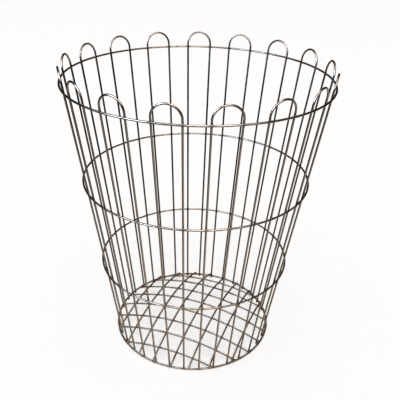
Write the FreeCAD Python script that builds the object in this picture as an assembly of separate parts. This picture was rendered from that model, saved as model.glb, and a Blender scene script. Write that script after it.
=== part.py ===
"""Welded wire basket of a fruit picker.

Seventeen hairpin wires stand round four rings, on a domed floor of crossed wires.
Millimetres, +Z up. The origin is on the basket's axis, at the level that it stands on.
"""
import FreeCAD, Part
import math
import os

from FreeCAD import Vector

os.makedirs("parts", exist_ok=True)

# Wire thickness
HAIRPIN_WIRE = 2.7
RING_WIRE = 2.7
BASE_RING_WIRE = 3.0
FLOOR_WIRE = 2.7

# Rings: radii and heights are those of the wire's centre
RIM_RADIUS = 194.5
BASE_RADIUS = 129.5
RIM_HEIGHT = 431.0
UPPER_RING_HEIGHT = 280.0
LOWER_RING_HEIGHT = 136.0

# Hairpins: one wire each, two straight legs and a round loop at the top
HAIRPIN_COUNT = 17
FIRST_HAIRPIN_TURN = 90.0
HALF_WIDTH_AT_RIM = 18.8
HALF_WIDTH_AT_BASE = 11.5
LOOP_CENTRE_ABOVE_RIM = 5.8
FOOT_CLEARANCE = 0.35

# Floor: two layers of parallel wires, the upper laid across the lower
FLOOR_WIRE_COUNT = 8
FLOOR_RISE = 26.0
UPPER_LAYER_TURN = 68.8
UPPER_LAYER_SHIFT = 0.0
LOWER_LAYER_SHIFT = -4.0
LEG_CLEARANCE = 0.2
SIDESTEP = 0.1

# Welds: wires stand this far apart, and a nugget of weld metal fills the gap
WELD_GAP = 0.1
NUGGET_RADIUS = 1.1
END_BEAD_RADIUS = 1.9

# What follows from those
BASE_RING_HEIGHT = BASE_RING_WIRE / 2
HAIRPIN_PITCH = 360.0 / HAIRPIN_COUNT
Z_AXIS = Vector(0, 0, 1)


def export(solids, node):
    """Write one node, a single solid or a group of separate solids."""
    for solid in solids:
        if solid.ShapeType != "Solid" or not solid.isValid() or solid.Volume <= 0:
            raise ValueError("not a sound solid in " + node)
    shape = solids[0] if len(solids) == 1 else Part.makeCompound(solids)
    shape.exportStep("parts/" + node + ".step")


def only_solid(shape):
    """The single solid of a cut or common shape."""
    if len(shape.Solids) != 1:
        raise ValueError("expected one solid, found %d" % len(shape.Solids))
    return shape.Solids[0]


def turned(shape, degrees):
    """A copy turned about the basket's axis."""
    copy = shape.copy()
    copy.rotate(Vector(0, 0, 0), Z_AXIS, degrees)
    return copy


def wire_along(edges, thickness):
    """A round wire whose centre follows the edges."""
    path = Part.Wire(edges)
    start = path.Edges[0]
    direction = start.tangentAt(start.FirstParameter)
    profile = Part.Wire([Part.makeCircle(thickness / 2, start.valueAt(start.FirstParameter), direction)])
    return path.makePipeShell([profile], True, False).Solids[0]


# Hairpins

def leg_radius_inside(ring_radius, ring_wire, slope):
    """How far a leg stands from the axis where it is welded inside a ring."""
    return ring_radius - ((HAIRPIN_WIRE + ring_wire) / 2 + WELD_GAP) * math.hypot(1, slope)


def hairpin_plane():
    """Distance from the axis at the base ring, slope outwards and spread of the leaning hairpin."""
    height = RIM_HEIGHT - BASE_RING_HEIGHT
    slope = (RIM_RADIUS - BASE_RADIUS) / height
    for _ in range(4):
        leg_at_rim = leg_radius_inside(RIM_RADIUS, RING_WIRE, slope)
        leg_at_base = leg_radius_inside(BASE_RADIUS, BASE_RING_WIRE, slope)
        slope = (leg_at_rim - leg_at_base) / height
    plane_at_rim = math.sqrt(leg_at_rim ** 2 - HALF_WIDTH_AT_RIM ** 2)
    plane_at_base = math.sqrt(leg_at_base ** 2 - HALF_WIDTH_AT_BASE ** 2)
    spread = (HALF_WIDTH_AT_RIM - HALF_WIDTH_AT_BASE) / height
    return plane_at_base, (plane_at_rim - plane_at_base) / height, spread


PLANE_AT_BASE, PLANE_SLOPE, LEG_SPREAD = hairpin_plane()


def leg_point(side, height):
    """Centre of a leg of the hairpin on +X, at a height. Side is 1 or -1."""
    rise = height - BASE_RING_HEIGHT
    outwards = PLANE_AT_BASE + PLANE_SLOPE * rise
    sideways = HALF_WIDTH_AT_BASE + LEG_SPREAD * rise
    return Vector(outwards, side * sideways, height)


def leg_direction(side):
    """Along a leg of the hairpin on +X, upwards."""
    return Vector(PLANE_SLOPE, side * LEG_SPREAD, 1).normalize()


def make_hairpin():
    """The hairpin on +X: up one leg, round the loop and down the other."""
    upwards = Vector(PLANE_SLOPE, 0, 1).normalize()
    sideways = Vector(0, 1, 0)
    leg_half_angle = leg_direction(1).getAngle(upwards)
    loop_height = RIM_HEIGHT + LOOP_CENTRE_ABOVE_RIM
    leg_at_loop = leg_point(1, loop_height)
    loop_centre = Vector(leg_at_loop.x, 0, loop_height)
    loop_radius = leg_at_loop.y * math.cos(leg_half_angle)
    leg_top = {}
    for side in (1, -1):
        outwards = sideways * (side * math.cos(leg_half_angle)) - upwards * math.sin(leg_half_angle)
        leg_top[side] = loop_centre + outwards * loop_radius
    return wire_along([
        Part.makeLine(leg_point(-1, FOOT_CLEARANCE), leg_top[-1]),
        Part.Arc(leg_top[-1], loop_centre + upwards * loop_radius, leg_top[1]).toShape(),
        Part.makeLine(leg_top[1], leg_point(1, FOOT_CLEARANCE)),
    ], HAIRPIN_WIRE)


def hairpin_turns():
    return [FIRST_HAIRPIN_TURN + index * HAIRPIN_PITCH for index in range(HAIRPIN_COUNT)]


# Rings

def ring_around_legs(height, ring_wire):
    """Radius of the ring that just goes round the legs at a height."""
    leg = leg_point(1, height)
    leg_radius = math.hypot(leg.x, leg.y)
    slope = (leg.x * PLANE_SLOPE + leg.y * LEG_SPREAD) / leg_radius
    return leg_radius + ((HAIRPIN_WIRE + ring_wire) / 2 + WELD_GAP) * math.hypot(1, slope)


RINGS = {
    "rim_ring": (RIM_HEIGHT, RING_WIRE),
    "upper_ring": (UPPER_RING_HEIGHT, RING_WIRE),
    "lower_ring": (LOWER_RING_HEIGHT, RING_WIRE),
    "base_ring": (BASE_RING_HEIGHT, BASE_RING_WIRE),
}


def make_ring(height, ring_wire):
    radius = ring_around_legs(height, ring_wire)
    return Part.makeTorus(radius, ring_wire / 2, Vector(0, 0, height), Z_AXIS).Solids[0]


def nugget_between(first, second, direction, middle, length):
    """Weld metal that fills the gap between two crossing wires."""
    start = middle - direction * (length / 2)
    rod = Part.makeCylinder(NUGGET_RADIUS, length, start, direction)
    return only_solid(rod.cut(first).cut(second))


def make_leg_welds(hairpin, height, ring_wire):
    """The nuggets between a ring and all the legs."""
    ring = make_ring(height, ring_wire)
    radius = ring_around_legs(height, ring_wire)
    reach = (HAIRPIN_WIRE + ring_wire) / 2 + WELD_GAP
    pair = []
    for side in (1, -1):
        leg = leg_point(side, height)
        radial = Vector(leg.x, leg.y, 0).normalize()
        outwards = Z_AXIS.cross(radial).cross(leg_direction(side)).normalize()
        middle = radial * radius + Z_AXIS * height - outwards * (reach / 2)
        pair.append(nugget_between(hairpin, ring, outwards, middle, reach))
    return [turned(nugget, turn) for turn in hairpin_turns() for nugget in pair]


# Floor: both layers lie on spheres about one centre, so they cross at an even distance

FLOOR_WIRE_SPACING = 2 * BASE_RADIUS / (FLOOR_WIRE_COUNT + 1)
LAYER_STEP = FLOOR_WIRE + WELD_GAP
LOWER_ABOVE_RING = (BASE_RING_WIRE - FLOOR_WIRE) / 2
RING_RISE = FLOOR_RISE - LOWER_ABOVE_RING
DOME_DEPTH = (BASE_RADIUS ** 2 - RING_RISE ** 2) / (2 * RING_RISE)
DOME_CENTRE = Vector(0, 0, BASE_RING_HEIGHT - DOME_DEPTH)
RING_SPHERE = math.hypot(BASE_RADIUS, DOME_DEPTH)


class FloorLayer:
    """Parallel floor wires on one sphere, sheared to one round."""

    def __init__(self, turn, shift, sphere, trim_radius):
        self.along = FreeCAD.Rotation(Z_AXIS, turn).multVec(Vector(1, 0, 0))
        self.across = Z_AXIS.cross(self.along)
        self.sphere = sphere
        self.trim_radius = trim_radius
        self.offsets = self.offsets_between_legs(shift)
        self.wires = [self.make_wire(offset) for offset in self.offsets]

    def offsets_between_legs(self, shift):
        """Even offsets, each moved aside just enough for its wire to pass between the legs."""
        room = END_BEAD_RADIUS + HAIRPIN_WIRE / 2 + LEG_CLEARANCE
        taken = [foot.dot(self.across) for foot in leg_feet()]
        offsets = []
        for index in range(FLOOR_WIRE_COUNT):
            even = (index - (FLOOR_WIRE_COUNT - 1) / 2) * FLOOR_WIRE_SPACING + shift
            clear = []
            sidestep = 0.0
            while not clear:
                tries = (even + sidestep, even - sidestep)
                clear = [offset for offset in tries if min(abs(offset - leg) for leg in taken) > room]
                sidestep += SIDESTEP
            offsets.append(clear[0])
        return offsets

    def half_span(self, offset):
        """Half the length of a wire, seen from above."""
        return math.sqrt(self.trim_radius ** 2 - offset ** 2)

    def make_wire(self, offset):
        """An arc of the dome in an upright plane, cut off by the shear."""
        arc_radius = math.sqrt(self.sphere ** 2 - offset ** 2)
        reach = self.half_span(offset) + 2 * FLOOR_WIRE
        centre = DOME_CENTRE + self.across * offset
        end_rise = Z_AXIS * math.sqrt(arc_radius ** 2 - reach ** 2)
        arc = Part.Arc(centre - self.along * reach + end_rise,
                       centre + Z_AXIS * arc_radius,
                       centre + self.along * reach + end_rise)
        shear = Part.makeCylinder(self.trim_radius, 3 * FLOOR_RISE, Vector(0, 0, -FLOOR_RISE), Z_AXIS)
        return only_solid(wire_along([arc.toShape()], FLOOR_WIRE).common(shear))


def leg_feet():
    """Where all the legs stand at the base ring."""
    feet = []
    for turn in hairpin_turns():
        for side in (1, -1):
            foot = leg_point(side, BASE_RING_HEIGHT)
            feet.append(FreeCAD.Rotation(Z_AXIS, turn).multVec(foot))
    return feet


def make_crossing_welds(upper, lower):
    """A nugget wherever an upper floor wire lies across a lower one."""
    nuggets = []
    for upper_wire, upper_offset in zip(upper.wires, upper.offsets):
        for lower_wire, lower_offset in zip(lower.wires, lower.offsets):
            if math.hypot(upper_offset, lower_offset) > lower.trim_radius - FLOOR_WIRE:
                continue
            direction = upper.across * (upper_offset / upper.sphere)
            direction += lower.across * (lower_offset / lower.sphere)
            direction.z = math.sqrt(1 - direction.Length ** 2)
            middle = DOME_CENTRE + direction * (lower.sphere + LAYER_STEP / 2)
            nuggets.append(nugget_between(upper_wire, lower_wire, direction, middle, LAYER_STEP))
    return nuggets


def make_upper_end_welds(upper, base_ring):
    """A nugget wherever an upper floor wire lies over the base ring."""
    nuggets = []
    reach = upper.sphere - RING_SPHERE
    for wire, offset in zip(upper.wires, upper.offsets):
        sideways = offset / upper.sphere
        forwards = math.sqrt((BASE_RADIUS / RING_SPHERE) ** 2 - sideways ** 2)
        for way in (1, -1):
            direction = upper.across * sideways + upper.along * (way * forwards)
            direction.z = DOME_DEPTH / RING_SPHERE
            middle = DOME_CENTRE + direction * (RING_SPHERE + reach / 2)
            nuggets.append(nugget_between(wire, base_ring, direction, middle, reach))
    return nuggets


def make_lower_end_welds(lower, base_ring):
    """A bead wherever the end of a lower floor wire meets the inside of the base ring."""
    beads = []
    end_rise = Z_AXIS * math.sqrt(lower.sphere ** 2 - lower.trim_radius ** 2)
    for wire, offset in zip(lower.wires, lower.offsets):
        for way in (1, -1):
            end = lower.across * offset + lower.along * (way * lower.half_span(offset))
            bead = Part.makeSphere(END_BEAD_RADIUS, DOME_CENTRE + end + end_rise)
            beads.append(only_solid(bead.cut(wire).cut(base_ring)))
    return beads


def make_floor():
    """The lower wires fit inside the base ring, and the upper ones lie over it, flush with its outside."""
    lower_sphere = RING_SPHERE + LOWER_ABOVE_RING
    lower = FloorLayer(UPPER_LAYER_TURN - 90, LOWER_LAYER_SHIFT, lower_sphere,
                       BASE_RADIUS - BASE_RING_WIRE / 2 - WELD_GAP)
    upper = FloorLayer(UPPER_LAYER_TURN, UPPER_LAYER_SHIFT, lower_sphere + LAYER_STEP,
                       BASE_RADIUS + BASE_RING_WIRE / 2)
    return lower, upper


def main():
    hairpin = make_hairpin()
    for number, turn in enumerate(hairpin_turns(), 1):
        export([turned(hairpin, turn)], "hairpin_%02d" % number)
    for name, (height, ring_wire) in RINGS.items():
        export([make_ring(height, ring_wire)], name)
        export(make_leg_welds(hairpin, height, ring_wire), name + "_leg_welds")
    lower, upper = make_floor()
    for name, layer in (("lower", lower), ("upper", upper)):
        for number, wire in enumerate(layer.wires, 1):
            export([wire], "floor_%s_wire_%d" % (name, number))
    base_ring = make_ring(*RINGS["base_ring"])
    export(make_crossing_welds(upper, lower), "floor_crossing_welds")
    export(make_upper_end_welds(upper, base_ring), "floor_upper_end_welds")
    export(make_lower_end_welds(lower, base_ring), "floor_lower_end_welds")


main()
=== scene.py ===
import math

import bpy
from bpy.props import FloatProperty, FloatVectorProperty, IntProperty, PointerProperty
from mathutils import Matrix, Vector


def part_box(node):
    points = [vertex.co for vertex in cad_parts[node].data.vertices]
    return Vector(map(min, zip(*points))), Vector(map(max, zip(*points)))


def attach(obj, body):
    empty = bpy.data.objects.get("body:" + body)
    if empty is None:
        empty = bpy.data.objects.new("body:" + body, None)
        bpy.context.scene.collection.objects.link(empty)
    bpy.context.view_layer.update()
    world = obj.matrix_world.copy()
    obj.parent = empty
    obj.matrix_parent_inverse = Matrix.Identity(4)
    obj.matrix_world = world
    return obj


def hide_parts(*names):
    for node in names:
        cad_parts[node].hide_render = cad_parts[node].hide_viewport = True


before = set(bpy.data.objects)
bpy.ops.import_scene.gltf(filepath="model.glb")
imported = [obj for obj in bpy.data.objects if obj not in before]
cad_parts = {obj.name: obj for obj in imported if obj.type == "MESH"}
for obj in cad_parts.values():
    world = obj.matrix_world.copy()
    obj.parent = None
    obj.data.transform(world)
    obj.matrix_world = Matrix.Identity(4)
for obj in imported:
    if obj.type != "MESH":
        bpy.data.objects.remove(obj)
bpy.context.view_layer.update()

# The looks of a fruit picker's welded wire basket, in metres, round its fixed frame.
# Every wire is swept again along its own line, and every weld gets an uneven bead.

bl_info = {
    "name": "Wire Picking Basket",
    "version": (1, 0, 0),
    "blender": (4, 5, 0),
    "location": "View3D > Sidebar > Basket",
    "description": "Sweeps the wires, beads the welds and lights a welded picking basket",
    "category": "Object",
}

UP = Vector((0, 0, 1))
BODY = "root"
HAIRPINS = sorted(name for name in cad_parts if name.startswith("hairpin_"))
RINGS = ("rim_ring", "upper_ring", "lower_ring", "base_ring")
FIRST_HAIRPIN_TURN = math.pi / 2
HAIRPIN_PITCH = 2 * math.pi / len(HAIRPINS)

# Segments along each kind of wire
RING_STEPS = 288
LEG_STEPS = 14
LOOP_STEPS = 36
FLOOR_STEPS = 48

# Reach of the heat tint on either side of a crossing weld, and of the weld that closes a ring
TINT_REACH = 0.0065
CLOSING_TINT_REACH = 0.007

# Added roughness of each ring, more where it stands in the damp
RING_DULLING = {"rim_ring": 0.0, "upper_ring": 0.03, "lower_ring": 0.08, "base_ring": 0.22}
FLOOR_DULLING = 0.30

# Fineness of the patterns on the steel and the floor
DRAW_LINES = 3200.0
DRAW_LINE_SHORTENING = 0.02
OXIDE_PATCHES = 26.0
MOTTLE = 700.0
RUST_SPECKS = 420.0
RUST_BLOOMS = 48.0
UNEVEN_TINT = 60.0
WELD_SCALE = 900.0
WELD_HOLLOWS = 480.0
BEAD_LUMPS = 620.0
PAPER_GRAIN = 40.0

# Heights at which the damp starts and ends, and between which the steel is painted lighter and browner
# towards the floor, as painted bounce light from below
DAMP_TOP, DAMP_BOTTOM = 0.045, 0.004
BOUNCE_LIGHT_BOTTOM, BOUNCE_LIGHT_TOP = 0.08, 0.42

# No bead reaches below this height
LOWEST_BEAD = 0.00006

LEAST_SWELL, MOST_SWELL = 0.9, 1.1
END_BEAD_FLATNESS = 0.8

# Share of a floor wire's thickness that its ends run past the shear
SHEAR_ALLOWANCE = 0.22

# Edges sharper than this stay crisp, so the cut ends of a wire look flat
CREASE_ANGLE = math.radians(50)

# The wire's own vector attributes: its round section, and its place if it were straight
ROUND = "round"
STRAIGHT = "straight"
RUN = "run"

AIM_HEIGHT = 0.24
WINDOW_DISTANCE = 2.6
ROOM_LIGHT_DISTANCE = 2.2
FLOOR_REACH = 12.0
FLOOR_LIGHT_SPREAD = math.radians(120)
SCENE_GAMMA = 0.66

DARK_ROOM = (0.022, 0.021, 0.023, 1.0)
WARM_GROUND = (1.62, 1.48, 1.34, 1.0)
WARM_CEILING = (0.50, 0.47, 0.44, 1.0)
WHITE = (1.0, 1.0, 1.0, 1.0)
BRIGHT_STEEL = (0.30, 0.29, 0.28, 1.0)
BLUED_STEEL = (0.035, 0.036, 0.045, 1.0)
BRIGHT_WELD = (0.15, 0.14, 0.135, 1.0)


# Sizes and colours that a user would change

class WireSizes(bpy.types.PropertyGroup):
    hairpin_wire: FloatProperty(name="Hairpin wire", description="Thickness of the upright wires",
                                default=0.0027, unit="LENGTH", precision=4)
    ring_wire: FloatProperty(name="Ring wire", description="Thickness of the three upper rings",
                             default=0.0027, unit="LENGTH", precision=4)
    base_ring_wire: FloatProperty(name="Base ring wire", description="Thickness of the ring it stands on",
                                  default=0.00298, unit="LENGTH", precision=4)
    floor_wire: FloatProperty(name="Floor wire", description="Thickness of the floor wires",
                              default=0.0027, unit="LENGTH", precision=4)
    half_width_at_rim: FloatProperty(name="Half width at the rim", default=0.0188, unit="LENGTH",
                                     description="From a hairpin's middle to its leg, at the rim ring")
    half_width_at_base: FloatProperty(name="Half width at the base", default=0.0115, unit="LENGTH",
                                      description="From a hairpin's middle to its leg, at the base ring")
    loop_above_rim: FloatProperty(name="Loop above the rim", default=0.00573, unit="LENGTH",
                                  description="Height of a loop's centre over the rim ring")
    foot_clearance: FloatProperty(name="Foot clearance", default=0.00035, unit="LENGTH",
                                  description="How far a leg ends above the ground")
    floor_rise: FloatProperty(name="Floor rise", default=0.026, unit="LENGTH",
                              description="How far the lower floor wires rise over the base ring")
    floor_turn: FloatProperty(name="Floor turn", default=math.radians(68.8), unit="ROTATION",
                              description="Direction of the upper floor wires")
    weld_gap: FloatProperty(name="Weld gap", default=0.0001, unit="LENGTH", precision=5,
                            description="Gap between two crossing wires that the weld fills")
    facets: IntProperty(name="Facets", description="Sides round each wire", default=20, min=8)


class WeldSizes(bpy.types.PropertyGroup):
    crossing_radius: FloatProperty(name="Crossing bead", default=0.00172, unit="LENGTH", precision=5,
                                   description="Radius of the flash squeezed out between two wires")
    crossing_height: FloatProperty(name="Crossing bead height", default=0.00105, unit="LENGTH", precision=5,
                                   description="Half the height of that flash")
    end_radius: FloatProperty(name="End bead", default=0.00195, unit="LENGTH", precision=5,
                              description="Radius of the bead at the end of a lower floor wire")
    lumpiness: FloatProperty(name="Lumpiness", default=0.00035, unit="LENGTH", precision=5,
                             description="How uneven the weld metal is")
    seed: IntProperty(name="Seed", description="Seed of the beads' unevenness", default=7)


class Finish(bpy.types.PropertyGroup):
    steel: FloatVectorProperty(name="Dark steel", subtype="COLOR", size=3, default=(0.235, 0.225, 0.22),
                               description="Drawn steel darkened by its oxide skin")
    # Painted bounce light: this lighter, browner colour is mixed in towards the floor in place of warm
    # light bounced up from below
    bounce_lit_umber: FloatVectorProperty(name="Umber steel", subtype="COLOR", size=3, default=(0.30, 0.275, 0.25),
                               description="The browner skin lower down, where damp and fruit lie")
    rust: FloatVectorProperty(name="Rust", subtype="COLOR", size=3, default=(0.23, 0.105, 0.045),
                              description="Light rust in specks and round the welds")
    weld: FloatVectorProperty(name="Weld scale", subtype="COLOR", size=3, default=(0.31, 0.28, 0.25),
                              description="Scaled weld metal")
    roughness: FloatProperty(name="Roughness", description="Roughness of clean drawn wire",
                             default=0.25, subtype="FACTOR", min=0, max=1)


class Studio(bpy.types.PropertyGroup):
    floor_colour: FloatVectorProperty(name="Floor", subtype="COLOR", size=3, default=(0.915, 0.925, 0.94),
                                      description="Colour of the pale floor")
    window_power: FloatProperty(name="Window light", default=130, subtype="POWER",
                                description="Cool light from the front left")
    window_colour: FloatVectorProperty(name="Window colour", subtype="COLOR", size=3,
                                       default=(0.80, 0.89, 1.0),
                                       description="Colour of the light from the front left")
    room_power: FloatProperty(name="Room light", default=105, subtype="POWER",
                              description="Warm light from overhead")
    room_colour: FloatVectorProperty(name="Room colour", subtype="COLOR", size=3, default=(1.0, 0.93, 0.85),
                                     description="Colour of the light from overhead")
    floor_light: FloatProperty(name="Floor light", default=0.45,
                               description="Soft light from above that no reflection shows")
    floor_glow: FloatProperty(name="Floor glow", default=0.575,
                              description="How much the floor glows by itself, like a light table")
    camera_place: FloatVectorProperty(name="Camera", subtype="XYZ", size=3, unit="LENGTH",
                                      default=(0.0, -0.8107, 0.6614), description="Where the camera stands")
    camera_pitch: FloatProperty(name="Pitch", default=math.radians(27.775), unit="ROTATION",
                                description="How far the camera looks down")
    camera_yaw: FloatProperty(name="Yaw", default=math.radians(0.521), unit="ROTATION",
                              description="How far the camera looks to the right")
    camera_roll: FloatProperty(name="Roll", default=math.radians(1.615), unit="ROTATION",
                               description="How far the camera leans")
    camera_lens: FloatProperty(name="Lens", default=52.0, description="Focal length in millimetres")


def sizes():
    """The wires' sizes that are set in the panel."""
    return bpy.context.scene.basket_sizes


def welds():
    """The welds' sizes that are set in the panel."""
    return bpy.context.scene.basket_welds


def finish():
    """The steel's colours that are set in the panel."""
    return bpy.context.scene.basket_finish


# Node trees written as expressions

class Socket:
    """An output socket whose arithmetic adds Math nodes."""

    def __init__(self, graph, output):
        self.graph = graph
        self.output = output

    def __add__(self, other):
        return self.graph.math("ADD", self, other)

    def __radd__(self, other):
        return self.graph.math("ADD", other, self)

    def __sub__(self, other):
        return self.graph.math("SUBTRACT", self, other)

    def __rsub__(self, other):
        return self.graph.math("SUBTRACT", other, self)

    def __mul__(self, other):
        return self.graph.math("MULTIPLY", self, other)

    def __rmul__(self, other):
        return self.graph.math("MULTIPLY", other, self)

    def __truediv__(self, other):
        return self.graph.math("DIVIDE", self, other)

    def __neg__(self):
        return self.graph.math("MULTIPLY", self, -1.0)

    def __abs__(self):
        return self.graph.math("ABSOLUTE", self)


class Graph:
    """A node tree, filled by one method for nodes and by arithmetic on sockets."""

    def __init__(self, tree):
        self.tree = tree

    def node(self, kind, settings=None, inputs=None, output=0):
        """Add a node: its settings first, then its sockets. Returns one of its outputs."""
        made = self.tree.nodes.new(kind)
        for name, value in (settings or {}).items():
            setattr(made, name, value)
        for name, value in (inputs or {}).items():
            if isinstance(value, Socket):
                self.tree.links.new(value.output, made.inputs[name])
            else:
                made.inputs[name].default_value = value
        return Socket(self, made.outputs[output]) if made.outputs else made

    def math(self, operation, *values, clamp=False):
        return self.node("ShaderNodeMath", {"operation": operation, "use_clamp": clamp},
                         dict(enumerate(values)))

    def vector(self, operation, *values, output=0):
        return self.node("ShaderNodeVectorMath", {"operation": operation}, dict(enumerate(values)),
                         output=output)

    def parts(self, vector):
        """The three numbers of a vector."""
        split = self.node("ShaderNodeSeparateXYZ", inputs={0: vector})
        return [Socket(self, output) for output in split.output.node.outputs]

    def joined(self, x, y, z):
        """A vector of three numbers."""
        return self.node("ShaderNodeCombineXYZ", inputs={0: x, 1: y, 2: z})

    def noise(self, vector, scale, detail=2.0, roughness=0.5):
        """An even random pattern; a higher scale is finer."""
        return self.node("ShaderNodeTexNoise", {"noise_dimensions": "3D"},
                         {"Vector": vector, "Scale": scale, "Detail": detail, "Roughness": roughness})

    def ramp(self, value, low, high, to_low=0.0, to_high=1.0):
        """The value stretched from one range to another, and held at its ends."""
        return self.node("ShaderNodeMapRange", {"clamp": True, "interpolation_type": "SMOOTHSTEP"},
                         {0: value, 1: low, 2: high, 3: to_low, 4: to_high})

    def mixed(self, share, first, second):
        """A colour between two colours, which are sockets 6 and 7 of the node."""
        return self.node("ShaderNodeMix", {"data_type": "RGBA"}, {"Factor": share, 6: first, 7: second},
                         output=2)

    def scaled(self, vector, factor):
        """A vector made longer or shorter by a number or a socket."""
        return self.node("ShaderNodeVectorMath", {"operation": "SCALE"}, {0: vector, "Scale": factor})

    def attribute(self, name):
        """A named vector attribute inside a geometry tree."""
        return self.node("GeometryNodeInputNamedAttribute", {"data_type": "FLOAT_VECTOR"}, {"Name": name})

    def stored(self, geometry, name, value, kind="FLOAT_VECTOR"):
        return self.node("GeometryNodeStoreNamedAttribute", {"data_type": kind, "domain": "POINT"},
                         {"Geometry": geometry, "Name": name, "Value": value})


# Lines that the wires follow

class Line:
    """Points along a wire's centre, closed on itself or open."""

    def __init__(self, points, closed=False):
        self.points = points
        self.closed = closed


def ring_measures(node):
    """Radius, height and wire of the roundest ring that stays in the frame's box of it."""
    low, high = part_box(node)
    wire = sizes().base_ring_wire if node == "base_ring" else sizes().ring_wire
    return min(high.x, high.y, -low.x, -low.y) - wire / 2, low.z + wire / 2, wire


def ring_line(node):
    """The ring's circle. Its ends meet in a butt weld, at the back between two hairpins."""
    radius, height, _ = ring_measures(node)
    start = closing_turn()
    points = []
    for index in range(RING_STEPS):
        turn = start + 2 * math.pi * index / RING_STEPS
        points.append(Vector((radius * math.cos(turn), radius * math.sin(turn), height)))
    return Line(points, closed=True)


def closing_turn():
    """Where a ring's ends are welded together: midway between the back hairpin and its neighbour."""
    return FIRST_HAIRPIN_TURN + HAIRPIN_PITCH / 2


class HairpinForm:
    """The plane and spread of the leaning hairpins, whose legs stand just inside the rings."""

    def __init__(self):
        size = sizes()
        rim_radius, self.rim_height, rim_wire = ring_measures("rim_ring")
        base_radius, self.base_height, base_wire = ring_measures("base_ring")
        rise = self.rim_height - self.base_height
        slope = (rim_radius - base_radius) / rise
        # A steeper lean moves the legs further in, so the slope settles in a few rounds
        for _ in range(4):
            at_rim = rim_radius - self.reach(rim_wire) * math.hypot(1, slope)
            at_base = base_radius - self.reach(base_wire) * math.hypot(1, slope)
            slope = (at_rim - at_base) / rise
        self.base_half = size.half_width_at_base
        self.base_distance = math.sqrt(at_base ** 2 - self.base_half ** 2)
        rim_distance = math.sqrt(at_rim ** 2 - size.half_width_at_rim ** 2)
        self.slope = (rim_distance - self.base_distance) / rise
        self.spread = (size.half_width_at_rim - self.base_half) / rise

    @staticmethod
    def reach(ring_wire):
        """Between the centres of a leg and a ring at their weld."""
        return (sizes().hairpin_wire + ring_wire) / 2 + sizes().weld_gap

    def leg(self, side, height):
        """Centre of a leg of the hairpin on +X, at a height."""
        rise = height - self.base_height
        return Vector((self.base_distance + self.slope * rise,
                       side * (self.base_half + self.spread * rise), height))


def hairpin_turn(index):
    """Turns the hairpin on +X to its place round the basket."""
    return Matrix.Rotation(FIRST_HAIRPIN_TURN + index * HAIRPIN_PITCH, 3, "Z")


def hairpin_line(number):
    """Up one leg, round the loop and down the other."""
    form = HairpinForm()
    upwards = Vector((form.slope, 0, 1)).normalized()
    half_angle = Vector((form.slope, form.spread, 1)).angle(upwards)
    loop_height = form.rim_height + sizes().loop_above_rim
    beside = form.leg(1, loop_height)
    centre = Vector((beside.x, 0, beside.z))
    radius = beside.y * math.cos(half_angle)
    loop = []
    for index in range(LOOP_STEPS + 1):
        angle = -half_angle + (math.pi + 2 * half_angle) * index / LOOP_STEPS
        loop.append(centre + radius * (Vector((0, -math.cos(angle), 0)) + upwards * math.sin(angle)))
    legs = []
    for side, top in ((-1, loop[0]), (1, loop[-1])):
        foot = form.leg(side, sizes().foot_clearance)
        legs.append([foot.lerp(top, index / LEG_STEPS) for index in range(LEG_STEPS)])
    turn = hairpin_turn(number - 1)
    return Line([turn @ point for point in legs[0] + loop + legs[1][::-1]])


class FloorForm:
    """The dome that the two layers of floor wires lie on."""

    def __init__(self):
        size = sizes()
        base_radius, base_height, base_wire = ring_measures("base_ring")
        above_ring = (base_wire - size.floor_wire) / 2
        ring_rise = size.floor_rise - above_ring
        depth = (base_radius ** 2 - ring_rise ** 2) / (2 * ring_rise)
        self.base_radius = base_radius
        self.centre = Vector((0, 0, base_height - depth))
        self.ring_sphere = math.hypot(base_radius, depth)
        self.spheres = {"lower": self.ring_sphere + above_ring}
        self.spheres["upper"] = self.spheres["lower"] + size.floor_wire + size.weld_gap
        self.trims = {"lower": base_radius - base_wire / 2 - size.weld_gap,
                      "upper": base_radius + base_wire / 2}

    @staticmethod
    def directions(layer):
        """Along and across a layer's wires."""
        turn = sizes().floor_turn - (math.pi / 2 if layer == "lower" else 0)
        along = Vector((math.cos(turn), math.sin(turn), 0))
        return along, UP.cross(along)

    @staticmethod
    def nodes(layer):
        return sorted(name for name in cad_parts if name.startswith("floor_%s_wire_" % layer))

    def offset(self, node, across):
        """How far a floor wire runs from the basket's axis, midway across the frame's solid."""
        reaches = [vertex.co.dot(across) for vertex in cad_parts[node].data.vertices]
        return (min(reaches) + max(reaches)) / 2

    def line(self, layer, node):
        """An arc of the dome, a little longer than the shear will leave it."""
        along, across = self.directions(layer)
        offset = self.offset(node, across)
        arc_radius = math.sqrt(self.spheres[layer] ** 2 - offset ** 2)
        half_span = math.sqrt(self.trims[layer] ** 2 - offset ** 2)
        to_shear = sizes().floor_wire * (abs(offset) / half_span / 2 + SHEAR_ALLOWANCE)
        reach = math.asin((half_span + to_shear) / arc_radius)
        points = []
        for index in range(FLOOR_STEPS + 1):
            angle = reach * (2 * index / FLOOR_STEPS - 1)
            points.append(self.centre + across * offset + along * (arc_radius * math.sin(angle))
                          + UP * (arc_radius * math.cos(angle)))
        return Line(points)


# Geometry Nodes

def new_tree(name, inputs):
    """A geometry tree with its group sockets, and the socket of each input by name."""
    tree = bpy.data.node_groups.new(name, "GeometryNodeTree")
    tree.interface.new_socket("Geometry", in_out="INPUT", socket_type="NodeSocketGeometry")
    for title, kind in inputs:
        tree.interface.new_socket(title, in_out="INPUT", socket_type=kind)
    tree.interface.new_socket("Geometry", in_out="OUTPUT", socket_type="NodeSocketGeometry")
    graph = Graph(tree)
    source = tree.nodes.new("NodeGroupInput")
    sockets = {output.name: Socket(graph, output) for output in source.outputs if output.name}
    return graph, sockets


def end_tree(graph, geometry, material):
    """Realize, paint and send out."""
    real = graph.node("GeometryNodeRealizeInstances", inputs={0: geometry})
    painted = graph.node("GeometryNodeSetMaterial", inputs={"Geometry": real, "Material": material})
    sink = graph.tree.nodes.new("NodeGroupOutput")
    graph.tree.links.new(painted.output, sink.inputs[0])


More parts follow.
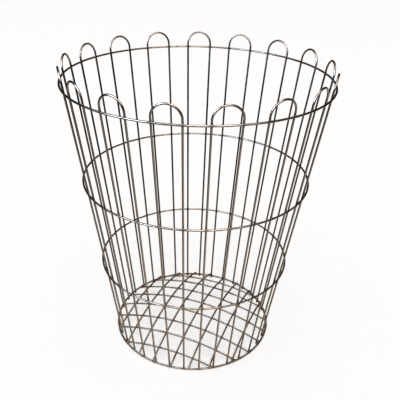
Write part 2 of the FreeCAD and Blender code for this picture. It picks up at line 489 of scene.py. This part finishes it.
def sweep_tree():
    """A round wire along the curve, with its ends sheared to a round and its creases kept."""
    graph, given = new_tree("Swept Wire", [
        ("Thickness", "NodeSocketFloat"), ("Facets", "NodeSocketInt"), ("Shear Radius", "NodeSocketFloat"),
        ("Shear Direction", "NodeSocketVector"), ("Material", "NodeSocketMaterial")])
    length = graph.node("GeometryNodeSplineParameter", output=1)
    line = graph.stored(given["Geometry"], RUN, length, "FLOAT")
    circle = graph.node("GeometryNodeCurvePrimitiveCircle",
                        inputs={"Resolution": given["Facets"], "Radius": given["Thickness"] * 0.5})
    profile = graph.stored(circle, ROUND, graph.node("GeometryNodeInputPosition"))
    tube = graph.node("GeometryNodeCurveToMesh",
                      inputs={"Curve": line, "Profile Curve": profile, "Fill Caps": True})

    run = graph.node("GeometryNodeInputNamedAttribute", {"data_type": "FLOAT"}, {"Name": RUN})
    x, y, _ = graph.parts(graph.attribute(ROUND))
    straight = graph.stored(tube, STRAIGHT, graph.joined(x, y, run))

    place = graph.node("GeometryNodeInputPosition")
    along = given["Shear Direction"]
    forwards = graph.vector("DOT_PRODUCT", place, along, output=1)
    px, py, _ = graph.parts(place)
    sideways_squared = px * px + py * py - forwards * forwards
    left_over = given["Shear Radius"] * given["Shear Radius"] - sideways_squared
    limit = graph.math("SQRT", graph.math("MAXIMUM", left_over, 0.0))
    kept = graph.math("MINIMUM", graph.math("MAXIMUM", forwards, -limit), limit)
    sheared = graph.node("GeometryNodeSetPosition",
                         inputs={"Geometry": straight, "Offset": graph.scaled(along, kept - forwards)})

    smooth = graph.node("GeometryNodeSetShadeSmooth", {"domain": "FACE"},
                        {"Geometry": sheared, "Shade Smooth": True})
    crease = graph.node("GeometryNodeInputMeshEdgeAngle")
    sharp = graph.node("FunctionNodeCompare", {"data_type": "FLOAT", "operation": "GREATER_THAN"},
                       {0: crease, 1: CREASE_ANGLE})
    creased = graph.node("GeometryNodeSetShadeSmooth", {"domain": "EDGE"},
                         {"Geometry": smooth, "Selection": sharp, "Shade Smooth": False})
    end_tree(graph, creased, given["Material"])
    return graph.tree


def bead_tree():
    """A lump of weld metal on every point, flat against the wires that it joins."""
    graph, given = new_tree("Weld Beads", [
        ("Radius", "NodeSocketFloat"), ("Height", "NodeSocketFloat"), ("Lumpiness", "NodeSocketFloat"),
        ("Seed", "NodeSocketInt"), ("Material", "NodeSocketMaterial")])
    ball = graph.node("GeometryNodeMeshIcoSphere", inputs={"Radius": 1.0, "Subdivisions": 2})
    upright = graph.node("FunctionNodeAlignRotationToVector", {"axis": "Z"},
                         {"Vector": graph.attribute("through")})
    spin = graph.node("FunctionNodeRandomValue", {"data_type": "FLOAT"},
                      {2: 0.0, 3: 2 * math.pi, "Seed": given["Seed"]}, output=1)
    turn = graph.node("FunctionNodeAxisAngleToRotation", inputs={"Axis": (0, 0, 1), "Angle": spin})
    turned = graph.node("FunctionNodeRotateRotation", {"rotation_space": "LOCAL"},
                        {"Rotation": upright, "Rotate By": turn})
    swell = graph.node("FunctionNodeRandomValue", {"data_type": "FLOAT"},
                       {2: LEAST_SWELL, 3: MOST_SWELL, "Seed": given["Seed"] + 1}, output=1)
    scale = graph.joined(given["Radius"] * swell, given["Radius"] * swell, given["Height"])
    beads = graph.node("GeometryNodeInstanceOnPoints", inputs={
        "Points": given["Geometry"], "Instance": ball, "Rotation": turned, "Scale": scale})
    real = graph.node("GeometryNodeRealizeInstances", inputs={0: beads})
    place = graph.node("GeometryNodeInputPosition")
    lumps = graph.noise(place, BEAD_LUMPS, 1.5)
    outwards = graph.scaled(graph.node("GeometryNodeInputNormal"), (lumps - 0.5) * 2.0 * given["Lumpiness"])
    uneven = graph.node("GeometryNodeSetPosition", inputs={"Geometry": real, "Offset": outwards})
    x, y, z = graph.parts(place)
    above_ground = graph.joined(x, y, graph.math("MAXIMUM", z, LOWEST_BEAD))
    grounded = graph.node("GeometryNodeSetPosition", inputs={"Geometry": uneven, "Position": above_ground})
    smooth = graph.node("GeometryNodeSetShadeSmooth", {"domain": "FACE"}, {"Geometry": grounded})
    end_tree(graph, smooth, given["Material"])
    return graph.tree


def kept_tree(name, build):
    """A tree, built the first time it is asked for."""
    return bpy.data.node_groups.get(name) or build()


def made_plain(source, tree, values, name):
    """Run a tree on an object and keep only the plain mesh that comes out."""
    modifier = source.modifiers.new("Nodes", "NODES")
    modifier.node_group = tree
    for item in tree.interface.items_tree:
        if item.in_out == "INPUT" and item.name in values:
            modifier[item.identifier] = values[item.name]
    bpy.context.view_layer.update()
    evaluated = source.evaluated_get(bpy.context.evaluated_depsgraph_get())
    mesh = bpy.data.meshes.new_from_object(evaluated, preserve_all_data_layers=True,
                                           depsgraph=bpy.context.evaluated_depsgraph_get())
    mesh.name = name
    modifier.node_group = None
    bpy.data.objects.remove(source)
    piece = bpy.data.objects.new(name, mesh)
    bpy.context.scene.collection.objects.link(piece)
    return piece


def swept(name, line, thickness, material, shear_radius=1.0, shear_direction=UP):
    """A wire of one thickness along a line."""
    curve = bpy.data.curves.new(name + "_line", "CURVE")
    curve.dimensions = "3D"
    spline = curve.splines.new("POLY")
    spline.points.add(len(line.points) - 1)
    for point, place in zip(spline.points, line.points):
        point.co = (*place, 1)
    spline.use_cyclic_u = line.closed
    source = bpy.data.objects.new(name + "_line", curve)
    bpy.context.scene.collection.objects.link(source)
    return made_plain(source, kept_tree("Swept Wire", sweep_tree), {
        "Thickness": thickness, "Facets": sizes().facets, "Shear Radius": shear_radius,
        "Shear Direction": tuple(shear_direction), "Material": material}, name)


def beaded(name, places, radius, height, material):
    """Beads at (place, direction through the joint) pairs."""
    mesh = bpy.data.meshes.new(name + "_places")
    mesh.from_pydata([place for place, _ in places], [], [])
    through = mesh.attributes.new("through", "FLOAT_VECTOR", "POINT")
    for index, (_, direction) in enumerate(places):
        through.data[index].vector = direction
    source = bpy.data.objects.new(name + "_places", mesh)
    bpy.context.scene.collection.objects.link(source)
    return made_plain(source, kept_tree("Weld Beads", bead_tree), {
        "Radius": radius, "Height": height, "Lumpiness": welds().lumpiness,
        "Seed": welds().seed, "Material": material}, name)


def settled(piece, node):
    """The piece rides on the basket and stands for its node of the frame."""
    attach(piece, BODY)
    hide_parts(node)


# Materials

def new_material(name):
    """An empty material and its node tree."""
    material = bpy.data.materials.new(name)
    material.use_nodes = True
    material.node_tree.nodes.clear()
    return material, Graph(material.node_tree)


def colour(values):
    return (*values, 1.0)


def near(graph, value, middle, width):
    """1 at the middle, falling to 0 at the width."""
    return graph.ramp(abs(value - middle), 0.0, width, 1.0, 0.0)


def near_ring_welds(graph, place):
    """1 on a leg where it is welded to a ring."""
    height = graph.parts(place)[2]
    heat = 0.0
    for node in RINGS:
        heat = near(graph, height, ring_measures(node)[1], TINT_REACH) + heat
    return heat


def near_leg_welds(graph, place, node):
    """1 on a ring where a leg is welded to it."""
    form = HairpinForm()
    radius, height, _ = ring_measures(node)
    leg = form.leg(1, height)
    leg_turn = math.atan2(leg.y, leg.x)
    x, y, _ = graph.parts(place)
    turn = graph.math("ARCTAN2", y, x) - FIRST_HAIRPIN_TURN + 4 * math.pi
    from_hairpin = abs(graph.math("FRACT", turn / HAIRPIN_PITCH + 0.5) - 0.5) * HAIRPIN_PITCH
    return near(graph, from_hairpin * radius, leg_turn * radius, TINT_REACH)


def steel_surface(graph, place, straight, heat, painted_bounce_share, dulling=0.0):
    """Dark drawn steel: an oxide skin in patches, draw lines, specks of rust, tint round the welds, and
    painted bounce light that makes it lighter and browner lower down.
    """
    look = finish()
    x, y, along = graph.parts(straight)
    lines = graph.noise(graph.joined(x, y, along * DRAW_LINE_SHORTENING), DRAW_LINES, 3.0, 0.6)
    patches = graph.ramp(graph.noise(place, OXIDE_PATCHES, 4.0, 0.6), 0.35, 0.68)
    mottle = graph.noise(place, MOTTLE, 3.0, 0.65)
    specks = graph.ramp(graph.noise(place, RUST_SPECKS, 4.0, 0.7), 0.60, 0.72)
    # Painted bounce light: lighter and browner towards the floor, varied by the oxide patches
    brown = graph.math("MULTIPLY", painted_bounce_share, patches * 0.45 + 0.55, clamp=True)
    skin = graph.mixed(brown, colour(look.steel), colour(look.bounce_lit_umber))
    worn = graph.mixed(graph.ramp(lines, 0.62, 0.8) * 0.5, skin, BRIGHT_STEEL)
    damp = graph.ramp(graph.parts(place)[2], DAMP_TOP, DAMP_BOTTOM)
    bloom = graph.ramp(graph.noise(place, RUST_BLOOMS, 5.0, 0.7), 0.50, 0.64)
    rust_share = graph.math("ADD", specks * 0.6 * patches + damp * bloom * 0.75,
                            heat * graph.ramp(mottle, 0.45, 0.62) * 0.5, clamp=True)
    rusty = graph.mixed(rust_share, worn, colour(look.rust))
    tinted = graph.mixed(heat * 0.5, rusty, BLUED_STEEL)
    rough = look.roughness + dulling + patches * 0.12 + (lines - 0.5) * 0.12 + rust_share * 0.35
    bump = graph.node("ShaderNodeBump", inputs={
        "Strength": 0.35, "Distance": 0.00006, "Height": lines * 0.6 + mottle * 0.5 + rust_share * 0.5})
    return tinted, rough, 1.0 - rust_share * 0.8, bump


def finish_material(material, graph, surface):
    """Feed a surface's colour, roughness, metal share and bump to the shader."""
    base, rough, metallic, bump = surface
    shader = graph.node("ShaderNodeBsdfPrincipled", inputs={
        "Base Color": base, "Roughness": rough, "Metallic": metallic, "Normal": bump})
    out = material.node_tree.nodes.new("ShaderNodeOutputMaterial")
    material.node_tree.links.new(shader.output, out.inputs["Surface"])
    return material


def object_place(graph):
    """The place on the piece, which is its place in the basket."""
    return graph.node("ShaderNodeTexCoord", output=3)


def straight_place(graph):
    """Across and along the wire, as if it were still straight."""
    return graph.node("ShaderNodeAttribute", {"attribute_type": "GEOMETRY", "attribute_name": STRAIGHT},
                      output=1)


def painted_bounce_below(graph, place, at_rim=0.10):
    """Painted bounce light: how much lighter and browner the steel is painted, little at the rim, wholly
    towards the floor.
    """
    return graph.ramp(graph.parts(place)[2], BOUNCE_LIGHT_BOTTOM, BOUNCE_LIGHT_TOP, 1.0, at_rim)


def hairpin_steel():
    """Dark wire, tinted where it is welded to the rings."""
    material, graph = new_material("Dark Drawn Hairpin Wire")
    place = object_place(graph)
    heat = near_ring_welds(graph, place)
    # Painted bounce light: lighter and browner towards the floor
    surface = steel_surface(graph, place, straight_place(graph), heat, painted_bounce_below(graph, place))
    return finish_material(material, graph, surface)


def ring_steel(node):
    """Dark wire, tinted where legs are welded to it and where its own ends are."""
    material, graph = new_material("Dark Drawn Wire of " + node.replace("_", " ").title())
    place = object_place(graph)
    straight = straight_place(graph)
    closing_heat = near(graph, graph.parts(straight)[2], 0.0, CLOSING_TINT_REACH)
    heat = near_leg_welds(graph, place, node) + closing_heat
    # The rings take more painted bounce light, 0.35 of it even at the rim
    surface = steel_surface(graph, place, straight, heat, painted_bounce_below(graph, place, 0.35),
                            RING_DULLING[node])
    return finish_material(material, graph, surface)


def floor_steel():
    """Dull brown wire of the floor, painted lighter and browner as bounce light from below, and tinted
    unevenly.
    """
    material, graph = new_material("Umber Floor Wire")
    place = object_place(graph)
    surface = steel_surface(graph, place, straight_place(graph), graph.noise(place, UNEVEN_TINT) * 0.25,
                            painted_bounce_below(graph, place), FLOOR_DULLING)
    return finish_material(material, graph, surface)


def weld_metal():
    """Dark scaled metal, rougher than the wire, with rust in its hollows."""
    look = finish()
    material, graph = new_material("Scaled Weld Metal")
    place = object_place(graph)
    scale = graph.noise(place, WELD_SCALE, 4.0, 0.7)
    hollows = graph.ramp(graph.noise(place, WELD_HOLLOWS, 3.0), 0.5, 0.66)
    tint = graph.mixed(graph.ramp(scale, 0.4, 0.7), colour(look.weld), BRIGHT_WELD)
    rusty = graph.mixed(hollows * 0.7, tint, colour(look.rust))
    bump = graph.node("ShaderNodeBump", inputs={"Strength": 0.6, "Distance": 0.0002, "Height": scale})
    return finish_material(material, graph, (rusty, 0.45 + hollows * 0.3, 0.9 - hollows * 0.6, bump))


# Operators

class BASKET_OT_hairpins(bpy.types.Operator):
    """Sweep the hairpin wires, one piece each"""
    bl_idname = "basket.hairpins"
    bl_label = "Hairpin Wires"

    def execute(self, context):
        material = hairpin_steel()
        for number, node in enumerate(HAIRPINS, 1):
            piece = swept("drawn_" + node, hairpin_line(number), sizes().hairpin_wire, material)
            settled(piece, node)
        return {"FINISHED"}


class BASKET_OT_rings(bpy.types.Operator):
    """Sweep the four rings that hold the hairpins"""
    bl_idname = "basket.rings"
    bl_label = "Rings"

    def execute(self, context):
        for node in RINGS:
            wire = ring_measures(node)[2]
            piece = swept("drawn_" + node, ring_line(node), wire, ring_steel(node))
            settled(piece, node)
        return {"FINISHED"}


class BASKET_OT_floor(bpy.types.Operator):
    """Sweep both layers of domed floor wires"""
    bl_idname = "basket.floor"
    bl_label = "Floor Wires"

    def execute(self, context):
        form = FloorForm()
        material = floor_steel()
        for layer in ("lower", "upper"):
            along, _ = form.directions(layer)
            for node in form.nodes(layer):
                piece = swept("drawn_" + node, form.line(layer, node), sizes().floor_wire, material,
                              form.trims[layer], along)
                settled(piece, node)
        return {"FINISHED"}


class BASKET_OT_leg_welds(bpy.types.Operator):
    """Bead the welds between the legs and each ring"""
    bl_idname = "basket.leg_welds"
    bl_label = "Leg Welds"

    def execute(self, context):
        form, weld = HairpinForm(), welds()
        material = weld_metal()
        for node in RINGS:
            radius, height, wire = ring_measures(node)
            places = []
            for index in range(len(HAIRPINS)):
                turn = hairpin_turn(index)
                for side in (1, -1):
                    leg = form.leg(side, height)
                    radial = Vector((leg.x, leg.y, 0)).normalized()
                    along_leg = Vector((form.slope, side * form.spread, 1))
                    direction = UP.cross(radial).cross(along_leg).normalized()
                    middle = radial * radius + UP * height - direction * (wire + sizes().weld_gap) / 2
                    places.append((turn @ middle, turn @ direction))
            piece = beaded("beads_" + node, places, weld.crossing_radius, weld.crossing_height, material)
            settled(piece, node + "_leg_welds")
        return {"FINISHED"}


class BASKET_OT_floor_welds(bpy.types.Operator):
    """Bead the floor's crossings and the ends of its wires"""
    bl_idname = "basket.floor_welds"
    bl_label = "Floor Welds"

    def execute(self, context):
        form = FloorForm()
        material = weld_metal()
        lower_along, lower_across = form.directions("lower")
        upper_along, upper_across = form.directions("upper")
        lower = [form.offset(node, lower_across) for node in form.nodes("lower")]
        upper = [form.offset(node, upper_across) for node in form.nodes("upper")]
        size, weld = sizes(), welds()
        crossings = []
        for upper_offset in upper:
            for lower_offset in lower:
                if math.hypot(upper_offset, lower_offset) > form.trims["lower"] - size.floor_wire:
                    continue
                direction = (upper_across * (upper_offset / form.spheres["upper"])
                             + lower_across * (lower_offset / form.spheres["lower"]))
                direction.z = math.sqrt(1 - direction.length_squared)
                middle = (form.spheres["lower"] + form.spheres["upper"]) / 2
                crossings.append((form.centre + direction * middle, direction))
        radius, height = weld.crossing_radius, weld.crossing_height
        piece = beaded("beads_floor_crossings", crossings, radius, height, material)
        settled(piece, "floor_crossing_welds")
        over_ring = []
        for offset in upper:
            sideways = offset / form.spheres["upper"]
            forwards = math.sqrt((form.base_radius / form.ring_sphere) ** 2 - sideways ** 2)
            for way in (1, -1):
                direction = upper_across * sideways + upper_along * (way * forwards)
                direction.z = math.sqrt(1 - direction.length_squared)
                middle = form.ring_sphere + (size.base_ring_wire + size.weld_gap) / 2
                over_ring.append((form.centre + direction * middle, direction))
        piece = beaded("beads_floor_upper_ends", over_ring, radius, height, material)
        settled(piece, "floor_upper_end_welds")
        butted = []
        for offset in lower:
            half_span = math.sqrt(form.trims["lower"] ** 2 - offset ** 2)
            rise = math.sqrt(form.spheres["lower"] ** 2 - form.trims["lower"] ** 2)
            for way in (1, -1):
                end = lower_across * offset + lower_along * (way * half_span)
                butted.append((form.centre + end + UP * rise, end.normalized()))
        piece = beaded("beads_floor_lower_ends", butted, weld.end_radius,
                       weld.end_radius * END_BEAD_FLATNESS, material)
        settled(piece, "floor_lower_end_welds")
        return {"FINISHED"}


class BASKET_OT_stage(bpy.types.Operator):
    """Lay the pale floor, hang the lights and set up the camera"""
    bl_idname = "basket.stage"
    bl_label = "Stage"

    def execute(self, context):
        look = context.scene.basket_studio
        lay_floor(look)
        light_world()
        middle = UP * AIM_HEIGHT
        front_left = middle + aim(math.radians(-145), math.radians(31)) * WINDOW_DISTANCE
        hang_light("window", look.window_power, look.window_colour, 1.7, 1.5, front_left, middle)
        overhead = middle + aim(math.radians(-72), math.radians(58)) * ROOM_LIGHT_DISTANCE
        hang_light("room", look.room_power, look.room_colour, 1.7, 3.0, overhead, middle)
        light_floor(look)
        set_camera(look)
        context.scene.view_settings.view_transform = "Standard"
        context.scene.view_settings.gamma = SCENE_GAMMA
        return {"FINISHED"}


def aim(turn, lift):
    """The direction at a turn from +X and a lift above the ground."""
    return Vector((math.cos(turn) * math.cos(lift), math.sin(turn) * math.cos(lift), math.sin(lift)))


def lay_floor(look):
    """A wide plain floor, kept out of the wires' reflections so that they stay dark."""
    mesh = bpy.data.meshes.new("pale_floor")
    near_edge, far_edge = -FLOOR_REACH, FLOOR_REACH
    corners = [(near_edge, near_edge, 0), (far_edge, near_edge, 0), (far_edge, far_edge, 0),
               (near_edge, far_edge, 0)]
    mesh.from_pydata(corners, [], [(0, 1, 2, 3)])
    floor = bpy.data.objects.new("pale_floor", mesh)
    bpy.context.scene.collection.objects.link(floor)
    material, graph = new_material("Pale Floor Paper")
    grain = graph.noise(object_place(graph), PAPER_GRAIN, 3.0)
    tone = graph.mixed(grain * 0.06, colour(look.floor_colour), (0.90, 0.90, 0.90, 1.0))
    shader = graph.node("ShaderNodeBsdfPrincipled", inputs={
        "Base Color": tone, "Roughness": 0.9, "Specular IOR Level": 0.1,
        "Emission Color": tone, "Emission Strength": look.floor_glow})
    out = material.node_tree.nodes.new("ShaderNodeOutputMaterial")
    material.node_tree.links.new(shader.output, out.inputs["Surface"])
    mesh.materials.append(material)
    floor.visible_glossy = False


def light_floor(look):
    """Even light from straight above, kept out of reflections, so that the floor stays pale to its edge."""
    sun = bpy.data.lights.new("floor_light", "SUN")
    sun.energy = look.floor_light
    sun.angle = FLOOR_LIGHT_SPREAD
    lamp = bpy.data.objects.new("floor_light", sun)
    lamp.visible_glossy = False
    bpy.context.scene.collection.objects.link(lamp)


def light_world():
    """A room dark to its sides and warm underfoot, behind a backdrop that only the camera sees."""
    world = bpy.data.worlds.new("dim_room")
    world.use_nodes = True
    world.node_tree.nodes.clear()
    graph = Graph(world.node_tree)
    seen = graph.node("ShaderNodeLightPath", output=0)
    sideways, _, upwards = graph.parts(graph.node("ShaderNodeTexCoord", output=0))
    shaded_left = graph.ramp(sideways, -0.6, 0.0, 0.30, 1.0)
    looking_down = graph.ramp(upwards, -0.16, -0.52)
    looking_up = graph.ramp(upwards, 0.25, 0.75)
    underfoot = graph.mixed(looking_down * shaded_left, DARK_ROOM, WARM_GROUND)
    room = graph.mixed(looking_up, underfoot, WARM_CEILING)
    shade = graph.mixed(seen, room, WHITE)
    glow = graph.node("ShaderNodeBackground", inputs={"Color": shade, "Strength": 1.0})
    out = world.node_tree.nodes.new("ShaderNodeOutputWorld")
    world.node_tree.links.new(glow.output, out.inputs["Surface"])
    bpy.context.scene.world = world


def hang_light(name, power, tint, width, tallness, place, target):
    """A soft rectangular light that faces the basket and shows only in reflections."""
    light = bpy.data.lights.new(name + "_light", "AREA")
    light.shape = "RECTANGLE"
    light.size = width
    light.size_y = tallness
    light.energy = power
    light.color = tint
    lamp = bpy.data.objects.new(name + "_light", light)
    lamp.location = place
    lamp.rotation_euler = (target - place).to_track_quat("-Z", "Y").to_euler()
    lamp.visible_diffuse = False
    bpy.context.scene.collection.objects.link(lamp)


def set_camera(look):
    """The camera stands in front, looks down into the basket and leans a little."""
    yaw, pitch, roll = look.camera_yaw, look.camera_pitch, look.camera_roll
    forwards = Vector((math.sin(yaw) * math.cos(pitch), math.cos(yaw) * math.cos(pitch), -math.sin(pitch)))
    right = Vector((math.cos(yaw), -math.sin(yaw), 0))
    upwards = right.cross(forwards)
    leaning_right = right * math.cos(roll) + upwards * math.sin(roll)
    leaning_up = upwards * math.cos(roll) - right * math.sin(roll)
    camera = bpy.data.cameras.new("front_camera")
    camera.sensor_width = 36.0
    camera.lens = look.camera_lens
    camera.clip_end = 50.0
    stand = bpy.data.objects.new("front_camera", camera)
    axes = Matrix((leaning_right, leaning_up, -forwards)).transposed().to_4x4()
    stand.matrix_world = Matrix.Translation(Vector(look.camera_place)) @ axes
    bpy.context.scene.collection.objects.link(stand)
    bpy.context.scene.camera = stand


class BASKET_PT_panel(bpy.types.Panel):
    """Lists what can be made"""
    bl_label = "Wire Picking Basket"
    bl_space_type = "VIEW_3D"
    bl_region_type = "UI"
    bl_category = "Basket"

    def draw(self, context):
        for operator in OPERATORS:
            self.layout.operator(operator.bl_idname)
        for group in (getattr(context.scene, name) for name in GROUPS):
            box = self.layout.box()
            for name in group.bl_rna.properties.keys():
                if name not in ("rna_type", "name"):
                    box.prop(group, name)


OPERATORS = (BASKET_OT_hairpins, BASKET_OT_rings, BASKET_OT_floor, BASKET_OT_leg_welds,
             BASKET_OT_floor_welds, BASKET_OT_stage)
GROUPS = {"basket_sizes": WireSizes, "basket_welds": WeldSizes, "basket_finish": Finish,
          "basket_studio": Studio}


def register():
    for group in GROUPS.values():
        bpy.utils.register_class(group)
    for cls in (*OPERATORS, BASKET_PT_panel):
        bpy.utils.register_class(cls)
    for name, group in GROUPS.items():
        setattr(bpy.types.Scene, name, PointerProperty(type=group))


def unregister():
    for name in GROUPS:
        delattr(bpy.types.Scene, name)
    for cls in (BASKET_PT_panel, *OPERATORS, *GROUPS.values()):
        bpy.utils.unregister_class(cls)


def main():
    register()
    bpy.ops.basket.hairpins()
    bpy.ops.basket.rings()
    bpy.ops.basket.floor()
    bpy.ops.basket.leg_welds()
    bpy.ops.basket.floor_welds()
    bpy.ops.basket.stage()


if __name__ == "__main__":
    main()
